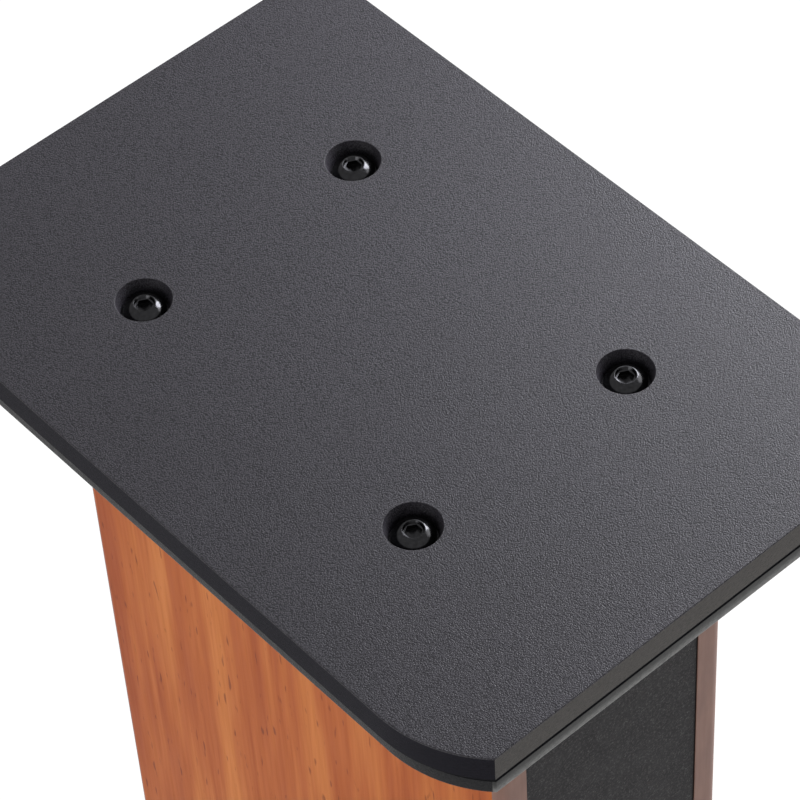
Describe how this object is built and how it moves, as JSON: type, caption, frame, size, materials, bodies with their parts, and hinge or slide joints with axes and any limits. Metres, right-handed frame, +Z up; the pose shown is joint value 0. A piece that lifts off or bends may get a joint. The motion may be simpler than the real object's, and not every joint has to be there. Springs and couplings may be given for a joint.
{
  "type": "speaker stand",
  "caption": "Floor stand for a loudspeaker: black head and base plates on a hollow wood-sided column, with screw-in levelling spikes, lock nuts and floor discs.",
  "frame": {"origin": "on the floor under the middle of the base plate", "axes": "+Z up; -Y is the front, where the two rounded corners are; +X to the right seen from the front"},
  "size_m": [0.26, 0.35, 0.6498],
  "materials": {
    "textured_film": "matt, fine pebbled grain",
    "black_board": "satin black, smooth",
    "black_steel": "fine textured black powder coat",
    "black_bolt": "black oxide, semi gloss",
    "wood_laminate": "satin reddish brown wood laminate, upright grain",
    "black_panel": "matt black, fine speckle",
    "raw_board": "raw fibre board",
    "beech_dowel": "raw beech",
    "zinc_insert": "zinc plated",
    "grommet_rubber": "matt black rubber",
    "felt": "black felt",
    "foot_metal": "black nickel, turned"
  },
  "bodies": {
    "stand": {"base_board": "black_board", "base_bolts": "black_bolt", "base_film": "textured_film", "base_inserts": "zinc_insert", "base_steel_plate": "black_steel", "bottom_block": "raw_board", "column_brace": "raw_board", "dowels": "beech_dowel", "front_panel": "black_panel", "head_board": "black_board", "head_bolts": "black_bolt", "head_film": "textured_film", "head_steel_plate": "black_steel", "left_side_panel": "wood_laminate", "lower_cable_grommet": "grommet_rubber", "plate_screws": "black_bolt", "rear_panel": "black_panel", "right_side_panel": "wood_laminate", "top_block": "raw_board", "upper_cable_grommet": "grommet_rubber"},
    "disc_front_left": {"felt_pad_front_left": "felt", "floor_disc_front_left": "foot_metal"},
    "screw_front_left": {"spike_front_left": "foot_metal"},
    "ring_front_left": {"washer_front_left": "foot_metal"},
    "nut_front_left": {"lock_nut_front_left": "foot_metal"},
    "disc_front_right": {"felt_pad_front_right": "felt", "floor_disc_front_right": "foot_metal"},
    "screw_front_right": {"spike_front_right": "foot_metal"},
    "ring_front_right": {"washer_front_right": "foot_metal"},
    "nut_front_right": {"lock_nut_front_right": "foot_metal"},
    "disc_rear_left": {"felt_pad_rear_left": "felt", "floor_disc_rear_left": "foot_metal"},
    "screw_rear_left": {"spike_rear_left": "foot_metal"},
    "ring_rear_left": {"washer_rear_left": "foot_metal"},
    "nut_rear_left": {"lock_nut_rear_left": "foot_metal"},
    "disc_rear_right": {"felt_pad_rear_right": "felt", "floor_disc_rear_right": "foot_metal"},
    "screw_rear_right": {"spike_rear_right": "foot_metal"},
    "ring_rear_right": {"washer_rear_right": "foot_metal"},
    "nut_rear_right": {"lock_nut_rear_right": "foot_metal"}
  },
  "joints": [
    {"name": "foot_slide_front_left", "type": "slide", "parent": "stand", "child": "disc_front_left", "axis": [0, 0, -1], "range_m": [0, 0.008]},
    {"name": "spike_turn_front_left", "type": "hinge", "parent": "disc_front_left", "child": "screw_front_left", "pos_m": [-0.1, -0.145, 0.0047], "axis": [0, 0, -1], "range_deg": [0, 2304]},
    {"name": "ring_slide_front_left", "type": "slide", "parent": "stand", "child": "ring_front_left", "axis": [0, 0, -1], "range_m": [0, 0.0025]},
    {"name": "nut_turn_front_left", "type": "hinge", "parent": "ring_front_left", "child": "nut_front_left", "pos_m": [-0.1, -0.145, 0.0262], "axis": [0, 0, -1], "range_deg": [0, 720]},
    {"name": "foot_slide_front_right", "type": "slide", "parent": "stand", "child": "disc_front_right", "axis": [0, 0, -1], "range_m": [0, 0.008]},
    {"name": "spike_turn_front_right", "type": "hinge", "parent": "disc_front_right", "child": "screw_front_right", "pos_m": [0.1, -0.145, 0.0047], "axis": [0, 0, -1], "range_deg": [0, 2304]},
    {"name": "ring_slide_front_right", "type": "slide", "parent": "stand", "child": "ring_front_right", "axis": [0, 0, -1], "range_m": [0, 0.0025]},
    {"name": "nut_turn_front_right", "type": "hinge", "parent": "ring_front_right", "child": "nut_front_right", "pos_m": [0.1, -0.145, 0.0262], "axis": [0, 0, -1], "range_deg": [0, 720]},
    {"name": "foot_slide_rear_left", "type": "slide", "parent": "stand", "child": "disc_rear_left", "axis": [0, 0, -1], "range_m": [0, 0.008]},
    {"name": "spike_turn_rear_left", "type": "hinge", "parent": "disc_rear_left", "child": "screw_rear_left", "pos_m": [-0.1, 0.145, 0.0047], "axis": [0, 0, -1], "range_deg": [0, 2304]},
    {"name": "ring_slide_rear_left", "type": "slide", "parent": "stand", "child": "ring_rear_left", "axis": [0, 0, -1], "range_m": [0, 0.0025]},
    {"name": "nut_turn_rear_left", "type": "hinge", "parent": "ring_rear_left", "child": "nut_rear_left", "pos_m": [-0.1, 0.145, 0.0262], "axis": [0, 0, -1], "range_deg": [0, 720]},
    {"name": "foot_slide_rear_right", "type": "slide", "parent": "stand", "child": "disc_rear_right", "axis": [0, 0, -1], "range_m": [0, 0.008]},
    {"name": "spike_turn_rear_right", "type": "hinge", "parent": "disc_rear_right", "child": "screw_rear_right", "pos_m": [0.1, 0.145, 0.0047], "axis": [0, 0, -1], "range_deg": [0, 2304]},
    {"name": "ring_slide_rear_right", "type": "slide", "parent": "stand", "child": "ring_rear_right", "axis": [0, 0, -1], "range_m": [0, 0.0025]},
    {"name": "nut_turn_rear_right", "type": "hinge", "parent": "ring_rear_right", "child": "nut_rear_right", "pos_m": [0.1, 0.145, 0.0262], "axis": [0, 0, -1], "range_deg": [0, 720]}
  ],
  "couplings": [
    {"joint": "spike_turn_front_left", "follows": "foot_slide_front_left", "rad_per_m": 5026.5},
    {"joint": "nut_turn_front_left", "follows": "ring_slide_front_left", "rad_per_m": 5026.5},
    {"joint": "spike_turn_front_right", "follows": "foot_slide_front_right", "rad_per_m": 5026.5},
    {"joint": "nut_turn_front_right", "follows": "ring_slide_front_right", "rad_per_m": 5026.5},
    {"joint": "spike_turn_rear_left", "follows": "foot_slide_rear_left", "rad_per_m": 5026.5},
    {"joint": "nut_turn_rear_left", "follows": "ring_slide_rear_left", "rad_per_m": 5026.5},
    {"joint": "spike_turn_rear_right", "follows": "foot_slide_rear_right", "rad_per_m": 5026.5},
    {"joint": "nut_turn_rear_right", "follows": "ring_slide_rear_right", "rad_per_m": 5026.5}
  ]
}
